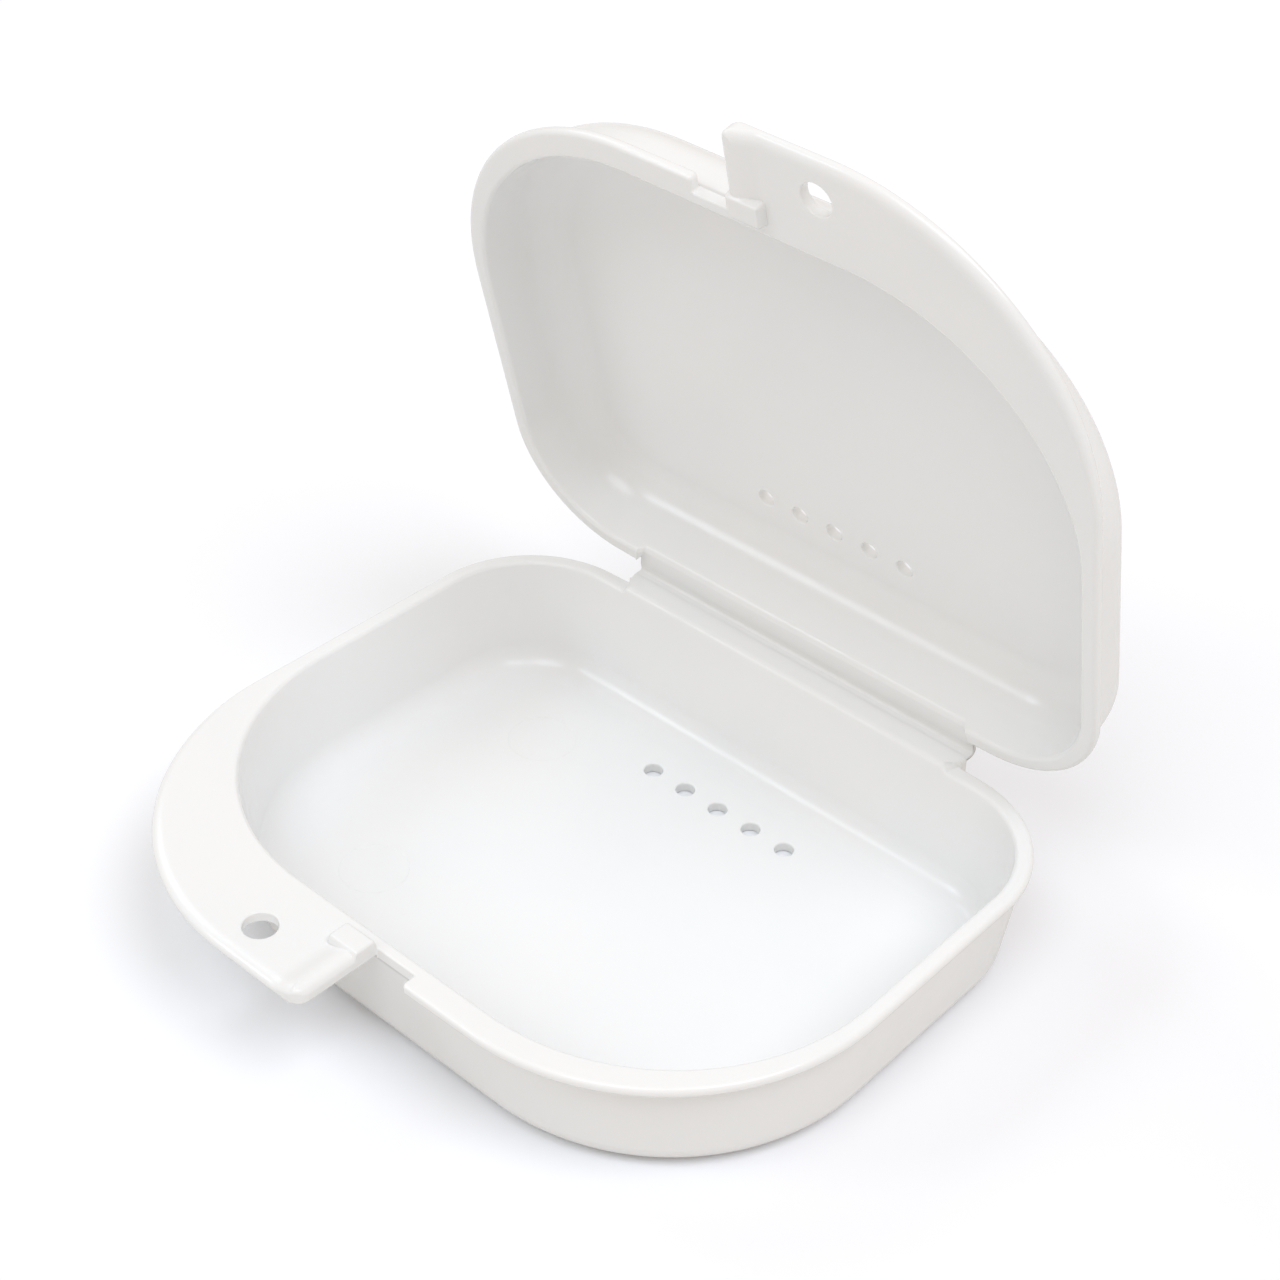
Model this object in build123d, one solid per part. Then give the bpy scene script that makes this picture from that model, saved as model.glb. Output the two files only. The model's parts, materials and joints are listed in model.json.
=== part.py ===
from build123d import *
import math
import os

os.makedirs("parts", exist_ok=True)

# A retainer case moulded in one shot: two trays that share one living hinge.
# All lengths are in mm. X runs along the hinge, +Y points to the hinge side, +Z is up.
# The case stands on z = 0, with the origin under the middle of the base tray.
# Each tray is drawn in its own frame, with its rim at z = 0, its floor below and its flange
# on the -X side. The lid is then turned over onto the base and opened about the fold line.

# Plan of the inside of the rim
inner_half_width = 36.0        # at its widest, near the front
inner_length = 53.8            # from the hinge side to the front
back_corner_r = 11.1
front_corner_r = 23.4
side_splay_deg = 1.2           # the sides spread this much towards the front

# Walls
wall_thickness = 1.2
floor_thickness = 1.2
draft_deg = 7.5
base_inner_depth = 12.5
lid_inner_depth = 7.8
base_inner_fillet_r = 3.0
lid_inner_fillet_r = 4.2
base_outer_edge_r = 3.4
lid_outer_edge_r = 5.5

# Lip round the rim, and the wide thumb flange that takes the place of half of it
rim_thickness = 1.15
lip_overhang_side = 0.5
lip_overhang_back = 0.6
lip_overhang_front = 1.7
flange_overhang_side = 0.7
flange_overhang_front = 9.5
flange_corner_r = 26.5
flange_end_x = 0.5             # each flange stops this far short of the middle
flange_tip_r = 1.4
rim_edge_break = 0.25

# Catch at the flange's end, which snaps into the other tray's notch
notch_far_x = 4.4              # the lip starts again here
catch_clearance = 0.12
catch_height = 1.0
catch_depth = 2.6
catch_edge_break = 0.3
ridge_height = 0.72            # the swelling along the flange's end
ridge_length = 3.8
ridge_crest = 0.9              # from the flange's end to the top of the swelling

# Strap hole in each flange
strap_hole_r = 1.7
strap_hole_x = 10.2
strap_hole_from_edge = 4.1

# Vents through each floor
vent_count = 5
vent_pitch = 4.49
vent_r = 1.0
vent_from_back = 8.4

# Living hinge
pad_half_length_inner = 21.3
pad_half_length_outer = 22.5
pad_rise = 0.6                 # the base's pad stands up this far, into the lid's pocket
pad_reach = 2.9                # from the inside of the hinge wall to the pad's outer edge
pad_thickness = 1.2
pocket_clearance = 0.15
web_thickness = 0.4
web_reach = 0.85               # each half of the web, from its pad to the fold line
web_gap = 0.02                 # each half of the web stops this far short of the fold line
closed_gap = 0.05              # between the two rims, and between the two pads, when shut

# How far the lid stands open
rest_open_deg = 76.0

# Places that follow from the sizes above, in a tray's own frame
y_back = 0.0
y_front = y_back - inner_length
y_back_lip = y_back + wall_thickness + lip_overhang_back
y_front_wall = y_front - wall_thickness
y_front_lip = y_front_wall - lip_overhang_front
y_front_flange = y_front_wall - flange_overhang_front
y_pad = y_back + pad_reach
y_fold = y_pad + web_reach
widest = inner_half_width + wall_thickness + flange_overhang_side
clear_of_part = 10.0           # how far a cutting block runs past what it cuts
root = 0.4                     # how far a raised feature is sunk into what carries it

# Places in the assembled frame
base_rim_z = base_inner_depth + floor_thickness
y_middle = (y_back + y_front) / 2
fold_y = y_fold - y_middle
fold_z = base_rim_z + pad_rise + closed_gap / 2


def point_on(centre, radius, angle_deg):
    turn = math.radians(angle_deg)
    return (centre[0] + radius * math.cos(turn), centre[1] + radius * math.sin(turn))


def tray_outline(half_width, back, front, back_r, front_r):
    """A face with a straight hinge side, splayed sides, small back and large front corners."""
    slope = math.tan(math.radians(side_splay_deg))
    y_widest = front + front_r
    x_back = half_width - slope * (back - y_widest)
    x_front = half_width - slope * (front - y_widest)
    plan = make_face(Polyline((-x_front, front), (x_front, front), (x_back, back),
                              (-x_back, back), close=True))
    plan = fillet(plan.vertices().group_by(Axis.Y)[0], front_r)
    return fillet(plan.vertices().group_by(Axis.Y)[-1], back_r).face()


def inner_outline(grow=0.0):
    """The inside of the rim, or a line that far outside it."""
    return tray_outline(inner_half_width + grow, y_back + grow, y_front - grow,
                        back_corner_r + grow, front_corner_r + grow)


def lip_outline():
    side = wall_thickness + lip_overhang_side
    return tray_outline(inner_half_width + side, y_back_lip, y_front_lip,
                        back_corner_r + side, front_corner_r + side)


def flange_outline():
    side = wall_thickness + flange_overhang_side
    return tray_outline(inner_half_width + side, y_back_lip, y_front_flange,
                        back_corner_r + side, flange_corner_r)


def block(x0, x1, y0, y1, z0, z1):
    """A box between two corners."""
    return Pos((x0 + x1) / 2, (y0 + y1) / 2, (z0 + z1) / 2) * Box(x1 - x0, y1 - y0, z1 - z0)


def plate(face, thickness, top=0.0):
    return extrude(face.moved(Location((0, 0, top))), amount=thickness, dir=(0, 0, -1))


def drafted_bowl(face, depth):
    """The face sunk by depth, with the walls' draft."""
    bowl = plate(face, depth)
    sides = bowl.faces() - bowl.faces().filter_by(Axis.Z)
    return draft(sides, neutral_plane=Plane.XY, angle=-draft_deg)


def outer_bowl(depth, edge_r):
    """The outside of a tray. Three narrow flats round its bottom edge, tangent to one radius."""
    bowl = drafted_bowl(inner_outline(wall_thickness), depth)
    eighth, sixteenth = math.tan(math.pi / 8), math.tan(math.pi / 16)
    middle_flat = edge_r * (1 - eighth)
    side_flats = edge_r * (eighth - sixteenth)
    bowl = bowl.chamfer(middle_flat, middle_flat, bowl.edges().group_by(Axis.Z)[0])
    levels = bowl.edges().group_by(Axis.Z)
    return bowl.chamfer(side_flats, side_flats, levels[0] + levels[2])


def hollow(depth, fillet_r):
    """The space inside a tray, and the space above it."""
    bowl = drafted_bowl(inner_outline(), depth)
    bowl = bowl.fillet(fillet_r, bowl.edges().group_by(Axis.Z)[0])
    above = catch_height + clear_of_part
    return bowl + plate(inner_outline(), above, above)


def rim_plate():
    """The lip on the +X side and the thumb flange on the -X side, with a notch between them."""
    beyond = widest + clear_of_part
    below = -rim_thickness - clear_of_part
    flange_side = block(-beyond, -flange_end_x, y_front_flange - clear_of_part,
                        y_back_lip + clear_of_part, below, clear_of_part)
    notch = block(-flange_end_x, notch_far_x, y_front_lip - clear_of_part,
                  y_front_wall + wall_thickness / 2, below, clear_of_part)
    flange = plate(flange_outline(), rim_thickness) & flange_side
    tip = flange.edges().filter_by(Axis.Z).sort_by(Axis.Y)[0]
    flange = flange.fillet(flange_tip_r, [tip])
    lip = plate(lip_outline(), rim_thickness) - flange_side - notch
    strap_hole = Pos(-strap_hole_x, y_front_flange + strap_hole_from_edge, 0) * Cylinder(
        strap_hole_r, 2 * rim_thickness + clear_of_part)
    rim = flange + lip - strap_hole
    faces = rim.faces().filter_by(Axis.Z).sort_by(Axis.Z)
    return rim.chamfer(rim_edge_break, rim_edge_break, faces[0].edges() + faces[-1].edges())


def ridge_profile():
    """Section across the swelling: it rises slowly from the flange, and rolls off at its end."""
    end = -flange_end_x
    crest = end - ridge_crest
    start = end - ridge_length
    roll_centre = (crest, ridge_height - ridge_crest)
    mid_x, mid_z = point_on(roll_centre, ridge_crest, 45)
    return make_face(Wire([
        Spline([(start, 0, 0), (crest, 0, ridge_height)], tangents=[(1, 0, 0), (1, 0, 0)]),
        ThreePointArc((crest, 0, ridge_height), (mid_x, 0, mid_z), (end, 0, roll_centre[1])),
        Line((end, 0, roll_centre[1]), (end, 0, -root)),
        Line((end, 0, -root), (start, 0, -root)),
        Line((start, 0, -root), (start, 0, 0)),
    ]))


def flange_ridge():
    """The swelling runs from the catch to the flange's front edge."""
    y_catch = y_front_wall - catch_depth
    length = y_catch - y_front_flange
    bar = extrude(ridge_profile().moved(Location((0, y_catch, 0))), amount=length, dir=(0, -1, 0))
    inside = plate(flange_outline(), 2 * clear_of_part, clear_of_part)
    return bar & inside


def catch_block():
    """The block that drops into the other tray's notch and hooks behind its wall."""
    catch = block(-notch_far_x + catch_clearance, -flange_end_x - catch_clearance,
                  y_front_wall - catch_clearance - catch_depth, y_front_wall - catch_clearance,
                  -root, catch_height)
    return catch.chamfer(catch_edge_break, catch_edge_break, catch.edges().group_by(Axis.Z)[-1])


def vents(inner_depth):
    """A row of small round holes through the floor."""
    first_x = -(vent_count - 1) / 2 * vent_pitch
    holes = []
    for k in range(vent_count):
        place = Pos(first_x + k * vent_pitch, y_back - vent_from_back, -inner_depth)
        holes.append(place * Cylinder(vent_r, 4 * floor_thickness))
    return holes


def pad_outline(grow=0.0, inner_y=y_back, outer_y=y_pad):
    """The hinge pad in plan: its ends slant outwards from the inside to the fold."""
    slant = (pad_half_length_outer - pad_half_length_inner) / pad_reach
    x_in = pad_half_length_inner + grow + slant * (inner_y - y_back)
    x_out = pad_half_length_inner + grow + slant * (outer_y - y_back)
    return make_face(Polyline((-x_in, inner_y), (x_in, inner_y), (x_out, outer_y),
                              (-x_out, outer_y), close=True))


def tray(inner_depth, inner_fillet_r, outer_edge_r):
    """A plain tray with its lip, flange, ridge, catch, strap hole and vents."""
    body = outer_bowl(inner_depth + floor_thickness, outer_edge_r)
    body = body + rim_plate() + flange_ridge() + catch_block()
    return body - hollow(inner_depth, inner_fillet_r) - vents(inner_depth)


def base_tray():
    pad = plate(pad_outline(), pad_rise + pad_thickness, pad_rise)
    return (tray(base_inner_depth, base_inner_fillet_r, base_outer_edge_r) + pad).solid()


def lid_tray():
    """The lid has a pocket where the base has its pad, so that the rims can meet."""
    pad = plate(pad_outline(), pad_thickness, -pad_rise)
    pocket_plan = pad_outline(pocket_clearance, y_back - clear_of_part, y_pad + clear_of_part)
    pocket = plate(pocket_plan, pad_rise + clear_of_part, clear_of_part)
    body = tray(lid_inner_depth, lid_inner_fillet_r, lid_outer_edge_r)
    return (body + pad - pocket).solid()


def web_half(top):
    """Half of the thin web, from its pad almost to the fold line."""
    return block(-pad_half_length_outer, pad_half_length_outer, y_pad, y_fold - web_gap,
                 top - web_thickness, top)


def place_base(part):
    return part.moved(Location((0, -y_middle, base_rim_z)))


def place_lid(part):
    """Turns a tray over onto the base, then opens it about the fold line."""
    turned = part.moved(Location((0, 0, 0), (0, 180, 0)))
    shut = turned.moved(Location((0, -y_middle, base_rim_z + closed_gap)))
    return shut.rotate(Axis((0, fold_y, fold_z), (1, 0, 0)), -rest_open_deg)


nodes = {
    "base_tray": place_base(base_tray()),
    "hinge_web_base": place_base(web_half(pad_rise)),
    "lid_tray": place_lid(lid_tray()),
    "hinge_web_lid": place_lid(web_half(-pad_rise)),
}

for name, part in nodes.items():
    part.label = name
    export_step(part, f"parts/{name}.step")
    box = part.bounding_box()
    print(name, f"{part.volume:.1f} mm3, {box.size.X:.2f} x {box.size.Y:.2f} x {box.size.Z:.2f} mm")
print(f"fold line at y {fold_y:.3f}, z {fold_z:.3f}")
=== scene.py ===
import json
import math

import bmesh
import bpy
import numpy as np
from mathutils import Matrix, Quaternion, Vector
from mathutils.geometry import delaunay_2d_cdt


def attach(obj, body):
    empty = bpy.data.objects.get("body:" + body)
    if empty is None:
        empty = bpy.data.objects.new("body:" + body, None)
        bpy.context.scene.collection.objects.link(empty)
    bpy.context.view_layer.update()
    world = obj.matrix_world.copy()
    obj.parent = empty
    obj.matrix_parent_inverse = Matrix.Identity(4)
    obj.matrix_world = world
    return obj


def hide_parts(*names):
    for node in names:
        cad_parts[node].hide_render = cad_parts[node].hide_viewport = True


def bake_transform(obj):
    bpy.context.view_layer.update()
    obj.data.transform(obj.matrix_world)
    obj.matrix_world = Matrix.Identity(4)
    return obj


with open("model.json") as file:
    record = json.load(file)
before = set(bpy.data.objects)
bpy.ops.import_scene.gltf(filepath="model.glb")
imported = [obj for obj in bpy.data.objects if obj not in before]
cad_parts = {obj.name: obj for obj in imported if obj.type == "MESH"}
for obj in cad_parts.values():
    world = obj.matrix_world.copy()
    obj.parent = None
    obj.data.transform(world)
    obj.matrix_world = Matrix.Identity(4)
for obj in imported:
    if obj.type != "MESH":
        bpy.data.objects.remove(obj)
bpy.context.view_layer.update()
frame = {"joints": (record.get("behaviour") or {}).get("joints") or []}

# The case is moulded in one shot: two trays that share a living hinge.
# Trays are drawn in mm, each in its own frame: rim at z = 0, floor below, flange on the -X side.
MM = 0.001
ARC_STEP_DEG = 2.5
ROUND_STEPS = 6
QUARTER_TURN = [math.pi / 2 * i / ROUND_STEPS for i in range(ROUND_STEPS + 1)]
TINY = 1e-6

# Plan of the inside of the rim, and the walls
inner_half_width = 36.0
inner_length = 53.8
back_corner_r = 11.1
front_corner_r = 23.4
side_splay_deg = 1.2
wall_thickness = 1.2
floor_thickness = 1.2
draft_deg = 7.5
base_inner_depth = 12.5
lid_inner_depth = 7.8
base_inner_fillet_r = 3.0
lid_inner_fillet_r = 4.2
base_outer_edge_r = 3.4
lid_outer_edge_r = 5.5
straight_wall = 2.0            # below this depth the walls are plain drafted faces

# Lip and flange round the rim
rim_thickness = 1.15
lip_overhang_side = 0.5
lip_overhang_back = 0.6
lip_overhang_front = 1.7
flange_overhang_side = 0.7
flange_overhang_front = 9.5
flange_corner_r = 26.5
flange_end_x = 0.5
flange_tip_r = 1.4
flange_widens_from = 3.2       # distance from the inner edge where the lip turns into flange ...
flange_widens_over = 4.0       # ... and the width of that change
lip_round = 0.48               # the lip's edge, top and bottom
lip_end_round = 0.35
lip_end_length = 1.2
lip_end_corner_r = 0.45
flange_end_round = 0.3
flange_end_turn = 0.7          # the edge's normal has turned this far in X at the flange's end
flange_roll = 1.3              # the flange's edge rolls off over this width ...
flange_roll_drop = 0.78        # ... and this depth
rim_inner_round = 0.42
pad_inner_round = 0.6          # the base pad's inner edge ...
pocket_inner_round = 0.7       # ... and the lid pocket's are softer than the rim's
edge_land = 0.08               # flat left between an edge's upper and lower round
notch_far_x = 4.4
notch_top_round = 0.18
notch_corner_r = 0.25
notch_gap = 0.08
notch_margin = 0.05
tight_round = 0.03

# Catch block and the swelling beside it
catch_height = 1.0
catch_clearance = 0.12
catch_depth = 2.6
catch_round = 0.3
catch_corner_r = 0.4
catch_side_run = 0.1
catch_grid = 0.1
ridge_height = 0.72
ridge_length = 3.8
ridge_crest = 0.9
ridge_roll_off = 0.5
ridge_step_x = 0.2
ridge_step_y = 0.6
flange_front_stops = (-4.6, -2.0, 0.3)      # from, to and step in X

# Margins of the grids that carry the catch block's and the swelling's shape
block_edge_margin = 0.1
block_from_end, block_past_side = 0.4, 0.25
block_past_outer, block_past_inner = 0.2, 0.15
ridge_edge_margin = 0.2
ridge_from_end, ridge_past_start = 0.45, 0.1
ridge_from_front, ridge_from_block = 0.5, 0.25
grid_from_edge = 0.06

# Strap hole, vents and ejector marks
strap_hole_r = 1.7
strap_hole_x = 10.2
strap_hole_from_edge = 4.1
strap_mouth_round = 0.15
vent_count = 5
vent_pitch = 4.49
vent_r = 1.0
vent_mouth_round = 0.18
vent_from_back = 8.4
ejector_marks = ((-18.8, -39.2, 3.5), (-21.0, -12.9, 3.6))
ejector_depth = 0.08
ejector_edge = 0.1
hole_sides = 40
ejector_sides = 96

# Living hinge
pad_half_length_inner = 21.3
pad_half_length_outer = 22.5
pad_rise = 0.6
pad_reach = 2.9
pad_thickness = 1.2
pocket_clearance = 0.15        # the lid's pocket is this much longer than the pad, at each end
pad_step_run = 0.6             # the pad's ends rise over this length ...
pad_under_run = 0.12           # ... and its underside drops over this one
pad_corner_r = 0.45
pad_root_r = 0.3
pad_end_round = 0.35
pad_under_round = 0.2
pad_round_from, pad_round_over = 0.6, 2.0   # its rounds fade out at this distance, over this width
pad_margin_x, pad_margin_y = 1.0, 0.1
wall_below_sink = 0.1
fold_turn_from, fold_turn_over = 0.3, 0.6   # of the edge's normal, where it turns to the fold
fold_margin = 0.5
web_thickness = 0.4
web_half_length = 22.2
web_bend_r = 0.3
web_bend_steps = 20
web_rings = 13
web_root = 0.35
web_sink = 0.06
web_blend_margin = 0.25

# Places in the frame
fold = Vector(frame["joints"][0]["pos_m"]) / MM
rest_open_deg = -frame["joints"][0]["range_deg"][0]
rim_z = base_inner_depth + floor_thickness
closed_gap = 2 * (fold.z - rim_z - pad_rise)
y_middle = -inner_length / 2
y_back_lip = wall_thickness + lip_overhang_back
y_front_wall = -inner_length - wall_thickness
y_front_lip = y_front_wall - lip_overhang_front
y_front_flange = y_front_wall - flange_overhang_front
pad_slant = (pad_half_length_outer - pad_half_length_inner) / pad_reach
pad_end_at_wall = pad_half_length_inner + pad_slant * wall_thickness
pad_end_at_lip = pad_half_length_inner + pad_slant * y_back_lip
draft_slope = math.tan(math.radians(draft_deg))
catch_x = -notch_far_x + catch_clearance
catch_y_inner = y_front_wall - catch_clearance
catch_y_outer = catch_y_inner - catch_depth

# Camera
camera_azimuth_deg = 41.65
camera_elevation_deg = 37.34
camera_roll_deg = 1.55
camera_distance = 0.26581
camera_target = Vector((-0.01436, 0.02184, 0.0137))
camera_lens = 71.66
camera_clip_start, camera_clip_end = 0.01, 50
sensor_width = 36.0

# Floor
floor_half_width = 3.0
floor_z = -0.00002


def smooth(t):
    t = np.clip(t, 0, 1)
    return t * t * (3 - 2 * t)


def mixed(value, target, share):
    return value * (1 - share) + target * share


def rounded(corners):
    """Points and outward normals round a polygon of (x, y, radius) corners, anticlockwise."""
    points, normals = [], []
    for k, (x, y, r) in enumerate(corners):
        here = np.array([x, y])
        came = here - np.array(corners[k - 1][:2])
        goes = np.array(corners[(k + 1) % len(corners)][:2]) - here
        came, goes = came / np.linalg.norm(came), goes / np.linalg.norm(goes)
        turn = math.atan2(came[0] * goes[1] - came[1] * goes[0], came @ goes)
        side = math.copysign(1, turn)
        outward = np.array([came[1], -came[0]])
        centre = here - came * r * math.tan(abs(turn) / 2) - side * r * outward
        steps = max(3, math.ceil(math.degrees(abs(turn)) / ARC_STEP_DEG))
        for i in range(steps + 1):
            angle = turn * i / steps
            normal = np.array([outward[0] * math.cos(angle) - outward[1] * math.sin(angle),
                               outward[0] * math.sin(angle) + outward[1] * math.cos(angle)])
            points.append(centre + side * r * normal)
            normals.append(normal)
    return np.array(points), np.array(normals)


def with_stops(outline, stops):
    """The outline with more points on its straight runs."""
    points, normals = [list(part) for part in outline]
    for stop in stops:
        stop = np.array(stop)
        gaps = []
        for k, start in enumerate(points):
            end = points[(k + 1) % len(points)]
            gaps.append(np.linalg.norm(stop - start) + np.linalg.norm(stop - end)
                        - np.linalg.norm(end - start))
        k = int(np.argmin(gaps))
        points.insert(k + 1, stop)
        normals.insert(k + 1, normals[k])
    return np.array(points), np.array(normals)


def splayed(half_width, back, front, front_r):
    """Half widths at the back and front of a plan whose sides spread towards the front."""
    slope = math.tan(math.radians(side_splay_deg))
    y_widest = front + front_r
    return half_width - slope * (back - y_widest), half_width - slope * (front - y_widest)


def inner_outline(pad_end):
    """The bowl's inner edge, with points where the pad's top and underside step."""
    x_back, x_front = splayed(inner_half_width, 0, -inner_length, front_corner_r)
    outline = rounded([(-x_front, -inner_length, front_corner_r),
                       (x_front, -inner_length, front_corner_r),
                       (x_back, 0, back_corner_r), (-x_back, 0, back_corner_r)])
    stops = []
    for x, run in ((pad_end, pad_step_run), (pad_end_at_wall, pad_under_run)):
        for sign in (-1, 1):
            stops += [(sign * (x - run / 2), 0), (sign * (x + run / 2), 0)]
    return with_stops(outline, stops)


def plate_outline():
    """The lip on the +X side, the flange on the -X side, the notch and the hinge pad."""
    side = wall_thickness + lip_overhang_side
    lip_back, lip_front = splayed(inner_half_width + side, y_back_lip, y_front_lip,
                                  front_corner_r + side)
    lip_back_r, lip_front_r = back_corner_r + side, front_corner_r + side
    side = wall_thickness + flange_overhang_side
    flange_back, flange_front = splayed(inner_half_width + side, y_back_lip, y_front_flange,
                                        flange_corner_r)
    y_notch = y_front_wall - notch_gap
    outline = rounded([
        (-flange_front, y_front_flange, flange_corner_r),
        (-flange_end_x, y_front_flange, flange_tip_r),
        (-flange_end_x, y_notch, notch_corner_r),
        (notch_far_x, y_notch, notch_corner_r),
        (notch_far_x, y_front_lip, lip_end_corner_r),
        (lip_front, y_front_lip, lip_front_r),
        (lip_back, y_back_lip, lip_back_r),
        (pad_end_at_lip, y_back_lip, pad_root_r),
        (pad_half_length_outer, pad_reach, pad_corner_r),
        (-pad_half_length_outer, pad_reach, pad_corner_r),
        (-pad_end_at_lip, y_back_lip, pad_root_r),
        (-flange_back, y_back_lip, back_corner_r + side)])
    stops = [(-flange_end_x, y) for y in flange_end_stops()]
    stops += [(x, y_front_flange) for x in np.arange(*flange_front_stops)]
    return with_stops(outline, stops)


def flange_end_stops():
    """Places along the flange's end that carry the block's and the swelling's outline."""
    y_corner = y_front_wall - notch_gap - notch_corner_r
    block = np.arange(catch_y_outer - block_edge_margin, y_corner, catch_grid)
    ridge = np.arange(y_front_flange + flange_tip_r + ridge_edge_margin,
                      catch_y_outer - ridge_edge_margin, ridge_step_y)
    return sorted([*block, *ridge])


def swelling(x):
    """Height of the flange's swelling at a distance from its end."""
    crest = -flange_end_x - ridge_crest
    start = -flange_end_x - ridge_length
    rise = ridge_height * smooth((x - start) / (crest - start))
    fall = ridge_roll_off * np.clip((x - crest) / ridge_crest, 0, 1) ** 2
    return rise - fall


def catch_rise(x, y):
    """Height of the catch block: a steep side, then a round to a flat top."""
    across = catch_corner_r - (x - catch_x)
    along = catch_corner_r - np.minimum(y - catch_y_outer, catch_y_inner - y)
    corner = np.hypot(np.maximum(across, 0), np.maximum(along, 0))
    inside = catch_corner_r - corner - np.minimum(np.maximum(across, along), 0)
    side = (catch_height - catch_round) * np.clip(inside / catch_side_run, 0, 1)
    to_top = np.clip(catch_side_run + catch_round - inside, 0, catch_round)
    dome = np.sqrt(catch_round ** 2 - to_top ** 2)
    return side + dome


def raised(x, y):
    """Height of everything that stands on the flange."""
    ridge = np.where((y < catch_y_inner - catch_depth / 2) & (x < 0), swelling(x), 0)
    return np.maximum(ridge, np.where(x < 0, catch_rise(x, y), 0))


def inside_loop(points, loop):
    """Which of the points lie inside a closed loop."""
    x, y = points[:, 0:1], points[:, 1:2]
    x0, y0 = loop[:, 0], loop[:, 1]
    x1, y1 = np.roll(x0, -1), np.roll(y0, -1)
    crosses = (y0 > y) != (y1 > y)
    with np.errstate(divide="ignore", invalid="ignore"):
        at = (x1 - x0) * (y - y0) / (y1 - y0) + x0
    return (crosses & (x < at)).sum(axis=1) % 2 == 1


class Skin:
    """One closed mesh in mm, made of rings, strips between them and flat sheets."""

    def __init__(self):
        self.points = []
        self.faces = []

    def ring(self, plan, z):
        first = len(self.points)
        heights = np.broadcast_to(z, (len(plan),))
        self.points += [(p[0], p[1], h) for p, h in zip(plan, heights)]
        return list(range(first, first + len(plan)))

    def strip(self, ring_a, ring_b):
        for k, a in enumerate(ring_a):
            j = (k + 1) % len(ring_a)
            self.faces.append((a, ring_a[j], ring_b[j], ring_b[k]))

    def strips(self, rings):
        for ring_a, ring_b in zip(rings, rings[1:]):
            self.strip(ring_a, ring_b)

    def sheet(self, outer, holes=(), marks=(), lines=(), grid=()):
        """Fills the plan between a ring and its holes, through marks, lines and grid points."""
        index = [i for loop in (outer, *holes, *marks) for i in loop] + list(grid)
        local = {i: k for k, i in enumerate(index)}
        plan = np.array([self.points[i][:2] for i in index])
        edges = []
        for loop in (outer, *holes, *marks):
            edges += [(local[a], local[b]) for a, b in zip(loop, loop[1:] + loop[:1])]
        edges += [(local[a], local[b]) for a, b in lines]
        result = delaunay_2d_cdt([Vector(p) for p in plan], edges, [], 0, 1e-5)
        corners, sources = result[2], result[3]
        crossings = [tuple(round(c, 3) for c in result[0][k])
                     for k, source in enumerate(sources) if not source]
        if crossings:
            raise ValueError(f"lines of a sheet cross at {crossings}")
        triangles = np.array([[sources[v][0] for v in face] for face in corners])
        middles = plan[triangles].mean(axis=1)
        keep = inside_loop(middles, np.array([self.points[i][:2] for i in outer]))
        for hole in holes:
            keep &= ~inside_loop(middles, np.array([self.points[i][:2] for i in hole]))
        self.faces += [tuple(index[v] for v in t) for t in triangles[keep]]

    def to_object(self, name, place):
        mesh = bpy.data.meshes.new(name)
        mesh.from_pydata([place @ Vector(p) for p in self.points], [], self.faces)
        shell = bmesh.new()
        shell.from_mesh(mesh)
        bmesh.ops.recalc_face_normals(shell, faces=shell.faces)
        shell.to_mesh(mesh)
        shell.free()
        mesh.shade_smooth()
        mesh.normals_split_custom_set_from_vertices(weighted_normals(mesh))
        piece = bpy.data.objects.new(name, mesh)
        bpy.context.scene.collection.objects.link(piece)
        return piece


def weighted_normals(mesh):
    """Vertex normals that lean to the larger faces, so flats stay flat beside their rounds."""
    total = np.zeros((len(mesh.vertices), 3))
    for face in mesh.polygons:
        total[list(face.vertices)] += np.array(face.normal) * face.area
    lengths = np.linalg.norm(total, axis=1, keepdims=True)
    return (total / np.maximum(lengths, 1e-20)).tolist()


def circle(x, y, r, sides):
    turns = np.linspace(0, 2 * math.pi, sides, endpoint=False)
    return np.column_stack([x + r * np.cos(turns), y + r * np.sin(turns)])


def tube(skin, x, y, r, top, bottom, mouth_round):
    """A hole with rounded mouths. Returns the rings at its two ends."""
    rings = []
    for z, inward, turn in ((top, -1, QUARTER_TURN), (bottom, 1, QUARTER_TURN[::-1])):
        for a in turn:
            plan = circle(x, y, r + mouth_round * (1 - math.sin(a)), hole_sides)
            rings.append(skin.ring(plan, z + inward * mouth_round * (1 - math.cos(a))))
    skin.strips(rings)
    return rings[0], rings[-1]


def bowl_profile(top_offset, depth, fillet_r):
    """Offsets and heights down a drafted wall and round its bottom fillet."""
    draft = math.radians(draft_deg)
    z_centre = fillet_r - depth
    z_tangent = z_centre - fillet_r * math.sin(draft)
    centre = top_offset + z_tangent * draft_slope - fillet_r * math.cos(draft)
    profile = [(top_offset - straight_wall * draft_slope, -straight_wall)]
    steps = 2 * ROUND_STEPS
    for i in range(steps + 1):
        a = -draft - (math.pi / 2 - draft) * i / steps
        profile.append((centre + fillet_r * math.cos(a), z_centre + fillet_r * math.sin(a)))
    return profile


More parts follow.
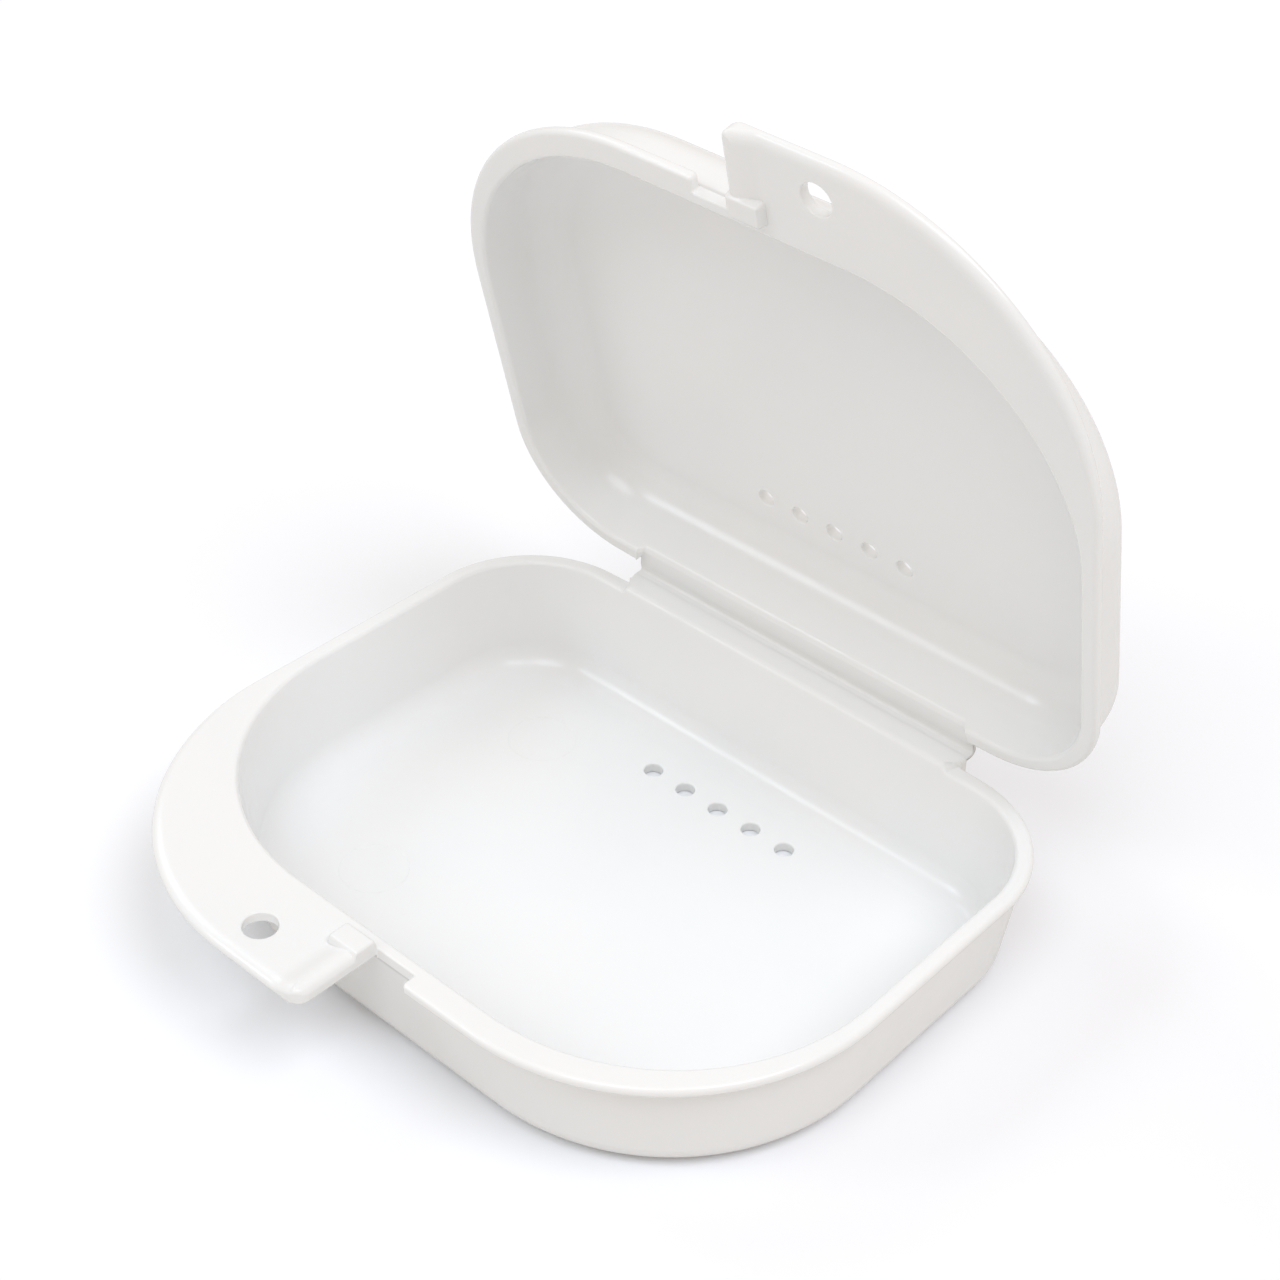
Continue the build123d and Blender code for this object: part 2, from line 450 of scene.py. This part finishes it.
def edge_rounds(plan, out, inner, on_pad):
    """Per point of the plate's edge: the upper round's width and depth, and the lower's size."""
    x, y = plan[:, 0], plan[:, 1]
    gap = np.linalg.norm(plan[:, None, :] - inner[None, :, :], axis=2).min(axis=1)
    wide = smooth((gap - flange_widens_from) / flange_widens_over)
    reach = lip_round + (flange_roll - lip_round) * wide
    drop = lip_round + (flange_roll_drop - lip_round) * wide
    at_end = smooth(out[:, 0] / flange_end_turn) * (x < 0) * (y < y_front_wall)
    reach = mixed(reach, flange_end_round, at_end)
    drop = mixed(drop, flange_end_round, at_end)
    under = np.minimum(rim_thickness - drop - edge_land, lip_round)

    at_lip_end = (np.abs(x - notch_far_x) < lip_end_length) & (y < y_front_wall)
    from_pad = np.hypot(np.abs(x) - pad_end_at_lip, y - y_back_lip)
    at_pad = np.maximum(1 - smooth((from_pad - pad_round_from) / pad_round_over), on_pad)
    reach, drop, under = [
        mixed(np.where(at_lip_end, lip_end_round, part), size, at_pad)
        for part, size in ((reach, pad_end_round), (drop, pad_end_round), (under, pad_under_round))]

    in_notch = (x > -flange_end_x + notch_margin) & (x < notch_far_x - notch_margin)
    in_notch &= y < -inner_length
    reach[in_notch] = drop[in_notch] = notch_top_round
    under[in_notch] = tight_round
    facing_fold = smooth((out[:, 1] - fold_turn_from) / fold_turn_over)
    facing_fold = facing_fold * (y > pad_reach - fold_margin)
    return [mixed(part, tight_round, facing_fold) for part in (reach, drop, under)]


def inner_wall(skin, outline, pad_inside, rise, depth, fillet_r):
    """Inside of the bowl, from the rim's inner round down to the floor."""
    points, normals = outline
    soft_r = pad_inner_round if rise > 0 else pocket_inner_round
    round_r = np.where(pad_inside, soft_r, rim_inner_round)
    rings = []
    for a in QUARTER_TURN:
        z = rise * pad_inside - round_r * (1 - math.cos(a))
        offset = round_r * (1 - math.sin(a)) + z * draft_slope
        rings.append(skin.ring(points + normals * offset[:, None], z))
    for offset, z in bowl_profile(0, depth, fillet_r):
        rings.append(skin.ring(points + normals * offset, z))
    skin.strips(rings)
    return rings[0], rings[-1]


def outer_wall(skin, outline, pad_at_wall, sink, depth, edge_r):
    """Outside of the bowl, from the rim's underside down to the bottom."""
    points, normals = outline
    z_top = -rim_thickness - sink * pad_at_wall
    rings = [skin.ring(points + normals * (wall_thickness + z_top * draft_slope)[:, None], z_top)]
    for offset, z in bowl_profile(wall_thickness, depth + floor_thickness, edge_r):
        low = min(z, -rim_thickness - sink - wall_below_sink)
        shift = (low - z) * draft_slope
        rings.append(skin.ring(points + normals * (offset + shift), low))
    skin.strips(rings)
    return rings[0], rings[-1]


def plate_edge(skin, plan, out, rounds, on_pad, rise, sink):
    """The edge round the plate, from its top to its underside."""
    reach, drop, under = rounds
    rings = []
    for a in QUARTER_TURN:
        at = plan - out * (reach * (1 - math.sin(a)))[:, None]
        z = -drop * (1 - math.cos(a)) + rise * on_pad + raised(at[:, 0], at[:, 1])
        rings.append(skin.ring(at, z))
    z_under = -rim_thickness - sink * on_pad
    for a in reversed(QUARTER_TURN):
        at = plan - out * (under * (1 - math.sin(a)))[:, None]
        rings.append(skin.ring(at, z_under + under * (1 - math.cos(a))))
    skin.strips(rings)
    return rings[0], rings[-1]


def tray_floor(skin, inner_ring, outer_ring, depth, marks):
    """The floor's two faces, with the vents through it and the ejector marks in it."""
    tops, bottoms = [], []
    first_x = -(vent_count - 1) / 2 * vent_pitch
    for k in range(vent_count):
        top, bottom = tube(skin, first_x + k * vent_pitch, -vent_from_back, vent_r,
                           -depth, -depth - floor_thickness, vent_mouth_round)
        tops.append(top)
        bottoms.append(bottom)
    rings = []
    for x, y, r in marks:
        rings.append(skin.ring(circle(x, y, r + ejector_edge, ejector_sides), -depth))
        rings.append(skin.ring(circle(x, y, r, ejector_sides), -depth - ejector_depth))
    skin.sheet(inner_ring, holes=tops, marks=rings)
    skin.sheet(outer_ring, holes=bottoms)


def tray(skin, depth, inner_r, outer_r, rise, sink, marks):
    """One tray. The pad's top stands at rise, and its underside is sink lower than the rim's."""
    pad_end = pad_half_length_inner + (pocket_clearance if rise < 0 else 0)
    outline = inner_outline(pad_end)
    points = outline[0]
    at_back = points[:, 1] > -TINY
    pad_inside = at_back & (np.abs(points[:, 0]) < pad_end)
    pad_at_wall = at_back & (np.abs(points[:, 0]) < pad_end_at_wall)
    inner_top, inner_ring = inner_wall(skin, outline, pad_inside, rise, depth, inner_r)
    outer_top, outer_ring = outer_wall(skin, outline, pad_at_wall, sink, depth, outer_r)

    plan, out = plate_outline()
    on_pad = plan[:, 1] > y_back_lip + pad_margin_y
    on_pad &= np.abs(plan[:, 0]) < pad_half_length_outer + pad_margin_x
    rounds = edge_rounds(plan, out, points, on_pad)
    edge_top, edge_under = plate_edge(skin, plan, out, rounds, on_pad, rise, sink)

    strap = tube(skin, -strap_hole_x, y_front_flange + strap_hole_from_edge, strap_hole_r,
                 0, -rim_thickness, strap_mouth_round)
    top_lines = pad_end_lines(points, inner_top, pad_inside, plan, edge_top, on_pad)
    under_lines = pad_end_lines(points, outer_top, pad_at_wall, plan, edge_under, on_pad)
    grid = feature_grid(skin, edge_top, inner_top)
    skin.sheet(edge_top, holes=[inner_top, strap[0]], lines=top_lines, grid=grid)
    skin.sheet(edge_under, holes=[outer_top, strap[1]], lines=under_lines)
    tray_floor(skin, inner_ring, outer_ring, depth, marks)


def step_points(plan, on_pad):
    """Both sides of each step between the rim and the pad: {(side of X, on the pad): index}."""
    steps = {}
    for k in range(len(plan)):
        beside = (k + 1) % len(plan)
        if on_pad[k] != on_pad[beside]:
            for i in (k, beside):
                steps[plan[i, 0] > 0, bool(on_pad[i])] = i
    return steps


def pad_end_lines(points, ring, pad_ring, plan, edge, on_pad):
    """The lines where the pad steps up or down from the rim, at both of its ends.

    Each step also gets the same diagonal in both trays, so that they don't touch when shut.
    """
    near, far = step_points(points, pad_ring), step_points(plan, on_pad)
    across = [(ring[near[side, True]], edge[far[side, False]]) for side in (False, True)]
    return across + [(ring[near[key]], edge[far[key]]) for key in near]


def feature_grid(skin, edge, inner):
    """Points under the catch block and the swelling, to carry their shape."""
    xs = np.arange(-flange_end_x - block_from_end, catch_x - block_past_side, -catch_grid)
    ys = np.arange(catch_y_outer - block_past_outer, catch_y_inner + block_past_inner, catch_grid)
    block = [(x, y) for x in xs for y in ys]
    xs = np.arange(-flange_end_x - ridge_from_end,
                   -flange_end_x - ridge_length - ridge_past_start, -ridge_step_x)
    ys = np.arange(y_front_flange + ridge_from_front, catch_y_outer - ridge_from_block,
                   ridge_step_y)
    plan = np.array(block + [(x, y) for x in xs for y in ys])
    loop = np.array([skin.points[i][:2] for i in edge])
    hole = np.array([skin.points[i][:2] for i in inner])
    gap = np.linalg.norm(plan[:, None, :] - loop[None, :, :], axis=2).min(axis=1)
    keep = inside_loop(plan, loop) & ~inside_loop(plan, hole) & (gap > grid_from_edge)
    plan = plan[keep]
    return skin.ring(plan, raised(plan[:, 0], plan[:, 1]))


def to_frame():
    """From a tray's own frame in mm to the base's place in metres."""
    return Matrix.Scale(MM, 4) @ Matrix.Translation((0, -y_middle, rim_z))


def lid_to_frame():
    """The lid is turned over onto the base, then opened about the fold line."""
    lifted = Matrix.Translation((0, -y_middle, rim_z + closed_gap))
    shut = lifted @ Matrix.Rotation(math.pi, 4, "Y")
    opened = Matrix.Rotation(math.radians(-rest_open_deg), 4, "X")
    about_fold = Matrix.Translation(fold) @ opened @ Matrix.Translation(-fold)
    return Matrix.Scale(MM, 4) @ about_fold @ shut


def web_path():
    """The web's inner face, from the base's pad to the lid's, with its outward normals."""
    opened = math.radians(rest_open_deg)
    to_base = np.array([-1.0, 0.0])
    to_lid = np.array([-math.cos(opened), math.sin(opened)])
    out_base = np.array([0.0, -1.0])
    out_lid = np.array([math.sin(opened), math.cos(opened)])
    middle = np.array([fold.y, fold.z])
    half_gap = closed_gap / 2
    inward = to_base + to_lid
    inward = inward / np.linalg.norm(inward)
    centre = middle + inward * (web_bend_r - half_gap) / math.sin(opened / 2)
    pad_edge = fold.y - (pad_reach - y_middle)
    path = [(middle + to_base * (pad_edge + web_root) + out_base * (half_gap + web_sink), out_base),
            (middle + to_base * pad_edge + out_base * half_gap, out_base)]
    for i in range(web_bend_steps + 1):
        angle = -math.pi / 2 + (math.pi - opened) * i / web_bend_steps
        normal = np.array([math.cos(angle), math.sin(angle)])
        path.append((centre + normal * web_bend_r, normal))
    path += [(middle + to_lid * pad_edge + out_lid * half_gap, out_lid),
             (middle + to_lid * (pad_edge + web_root) + out_lid * (half_gap + web_sink), out_lid)]
    return path, middle, to_base, to_lid


def hinge_web():
    """The thin web, one skin between the two pads, built at the rest opening."""
    path, middle, to_base, to_lid = web_path()
    thinner = [web_thickness - (2 * web_sink if k in (0, len(path) - 1) else 0)
               for k in range(len(path))]
    section = [p for p, n in path]
    section += [p + n * t for (p, n), t in reversed(list(zip(path, thinner)))]
    skin = Skin()
    rings = []
    for x in np.linspace(-web_half_length, web_half_length, web_rings):
        first = len(skin.points)
        skin.points += [(x, p[0], p[1]) for p in section]
        rings.append(list(range(first, first + len(section))))
    skin.strips(rings)
    for ring in (rings[0], rings[-1]):
        half = len(ring) // 2
        for k in range(half - 1):
            skin.faces.append((ring[k], ring[k + 1], ring[-k - 2], ring[-k - 1]))
    web = skin.to_object("living_hinge", Matrix.Scale(MM, 4))
    reach = (web_bend_r - closed_gap / 2) / math.tan(math.radians(rest_open_deg) / 2)
    reach += web_blend_margin
    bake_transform(web)
    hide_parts("hinge_web_base", "hinge_web_lid")
    return web


def new_material(name):
    material = bpy.data.materials.new(name)
    material.use_nodes = True
    nodes, links = material.node_tree.nodes, material.node_tree.links
    nodes.clear()
    output = nodes.new("ShaderNodeOutputMaterial")
    return material, nodes, links, output


def noise(nodes, links, vector, scale, detail, roughness=0.5):
    texture = nodes.new("ShaderNodeTexNoise")
    texture.inputs["Scale"].default_value = scale
    texture.inputs["Detail"].default_value = detail
    texture.inputs["Roughness"].default_value = roughness
    links.new(vector, texture.inputs["Vector"])
    return texture.outputs["Fac"]


def ramp(nodes, links, value, low, high, dark, light):
    node = nodes.new("ShaderNodeValToRGB")
    node.color_ramp.elements[0].position = low
    node.color_ramp.elements[1].position = high
    node.color_ramp.elements[0].color = dark
    node.color_ramp.elements[1].color = light
    links.new(value, node.inputs["Fac"])
    return node.outputs["Color"]


def white_plastic():
    """Polypropylene: slightly milky, with a soft gloss and a fine orange peel."""
    material, nodes, links, output = new_material("white_plastic")
    shader = nodes.new("ShaderNodeBsdfPrincipled")
    links.new(shader.outputs["BSDF"], output.inputs["Surface"])
    place = nodes.new("ShaderNodeTexCoord").outputs["Object"]
    tint = noise(nodes, links, place, scale=45, detail=2)
    links.new(ramp(nodes, links, tint, low=0.35, high=0.65,
                   dark=(0.872, 0.885, 0.892, 1), light=(0.895, 0.899, 0.9, 1)),
              shader.inputs["Base Color"])
    wear = noise(nodes, links, place, scale=260, detail=5, roughness=0.62)
    links.new(ramp(nodes, links, wear, low=0.3, high=0.7,
                   dark=(0.17, 0.17, 0.17, 1), light=(0.26, 0.26, 0.26, 1)),
              shader.inputs["Roughness"])
    bump = nodes.new("ShaderNodeBump")
    bump.inputs["Strength"].default_value = 0.35
    bump.inputs["Distance"].default_value = 0.00002
    links.new(noise(nodes, links, place, scale=750, detail=2), bump.inputs["Height"])
    links.new(bump.outputs["Normal"], shader.inputs["Normal"])
    shader.inputs["IOR"].default_value = 1.49
    shader.inputs["Subsurface Weight"].default_value = 0.2
    shader.inputs["Subsurface Radius"].default_value = (1.0, 0.9, 0.85)
    shader.inputs["Subsurface Scale"].default_value = 0.0012
    return material


def lit_and_seen(nodes, links, output, kind, lit, seen):
    """Two shaders: the scene is lit by the first, and the camera sees the second."""
    mix = nodes.new("ShaderNodeMixShader")
    links.new(nodes.new("ShaderNodeLightPath").outputs["Is Camera Ray"], mix.inputs["Fac"])
    for slot, settings in ((1, lit), (2, seen)):
        shader = nodes.new(kind)
        for socket, value in settings.items():
            shader.inputs[socket].default_value = value
        links.new(shader.outputs[0], mix.inputs[slot])
    links.new(mix.outputs["Shader"], output.inputs["Surface"])


def pale_floor():
    material, nodes, links, output = new_material("floor_white")
    lit_and_seen(nodes, links, output, "ShaderNodeBsdfDiffuse",
                 lit={"Color": (0.77, 0.77, 0.77, 1)}, seen={"Color": (0.95, 0.965, 1, 1)})
    return material


def make_floor():
    mesh = bpy.data.meshes.new("floor")
    corners = ((-1, -1), (1, -1), (1, 1), (-1, 1))
    mesh.from_pydata([(x * floor_half_width, y * floor_half_width, floor_z) for x, y in corners],
                     [], [(0, 1, 2, 3)])
    floor = bpy.data.objects.new("floor", mesh)
    bpy.context.scene.collection.objects.link(floor)
    mesh.materials.append(pale_floor())


def make_camera():
    azimuth, elevation = math.radians(camera_azimuth_deg), math.radians(camera_elevation_deg)
    away = Vector((math.sin(azimuth) * math.cos(elevation),
                   -math.cos(azimuth) * math.cos(elevation), math.sin(elevation)))
    data = bpy.data.cameras.new("camera")
    data.sensor_fit = "HORIZONTAL"
    data.sensor_width = sensor_width
    data.lens = camera_lens
    data.clip_start, data.clip_end = camera_clip_start, camera_clip_end
    camera = bpy.data.objects.new("camera", data)
    camera.location = camera_target + away * camera_distance
    level = (-away).to_track_quat("-Z", "Y")
    camera.rotation_euler = (Quaternion(away, math.radians(camera_roll_deg)) @ level).to_euler()
    bpy.context.scene.collection.objects.link(camera)
    bpy.context.scene.camera = camera


def sun_light(name, direction, spread_deg, strength, colour):
    """A distant light. A white face square to it at strength 1 renders as white."""
    data = bpy.data.lights.new(name, "SUN")
    data.angle = math.radians(spread_deg)
    data.energy = strength * math.pi
    data.color = colour
    light = bpy.data.objects.new(name, data)
    light.rotation_euler = Vector(direction).to_track_quat("Z", "Y").to_euler()
    bpy.context.scene.collection.objects.link(light)


def make_lights():
    world = bpy.data.worlds.new("studio")
    world.use_nodes = True
    nodes, links = world.node_tree.nodes, world.node_tree.links
    nodes.clear()
    output = nodes.new("ShaderNodeOutputWorld")
    lit_and_seen(nodes, links, output, "ShaderNodeBackground",
                 lit={"Color": (1, 0.89, 0.77, 1), "Strength": 0.58},
                 seen={"Color": (1, 1, 1, 1), "Strength": 1.0})
    bpy.context.scene.world = world
    sun_light("front_window", (0.15, -0.5, 0.87), 30, 0.21, (0.84, 0.92, 1))
    sun_light("right_window", (0.5, 0.0, 0.87), 30, 0.32, (0.87, 0.91, 1))
    sun_light("left_window", (-0.75, 0.0, 0.65), 30, 0.12, (0.72, 0.87, 1))
    sun_light("softbox", (-0.53, -0.63, 0.57), 17, 0.1, (0.8, 0.9, 1))


def make_case():
    plastic = white_plastic()
    base, lid = Skin(), Skin()
    tray(base, base_inner_depth, base_inner_fillet_r, base_outer_edge_r,
         rise=pad_rise, sink=0, marks=ejector_marks)
    tray(lid, lid_inner_depth, lid_inner_fillet_r, lid_outer_edge_r,
         rise=-pad_rise, sink=pad_rise + pad_thickness - rim_thickness, marks=())
    base_shell = base.to_object("base_shell", to_frame())
    lid_shell = lid.to_object("lid_shell", lid_to_frame())
    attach(base_shell, "base")
    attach(lid_shell, "lid")
    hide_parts("base_tray")
    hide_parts("lid_tray")
    for piece in (base_shell, lid_shell, hinge_web()):
        piece.data.materials.append(plastic)


bpy.context.scene.view_settings.view_transform = "Standard"
make_case()
make_floor()
make_lights()
make_camera()
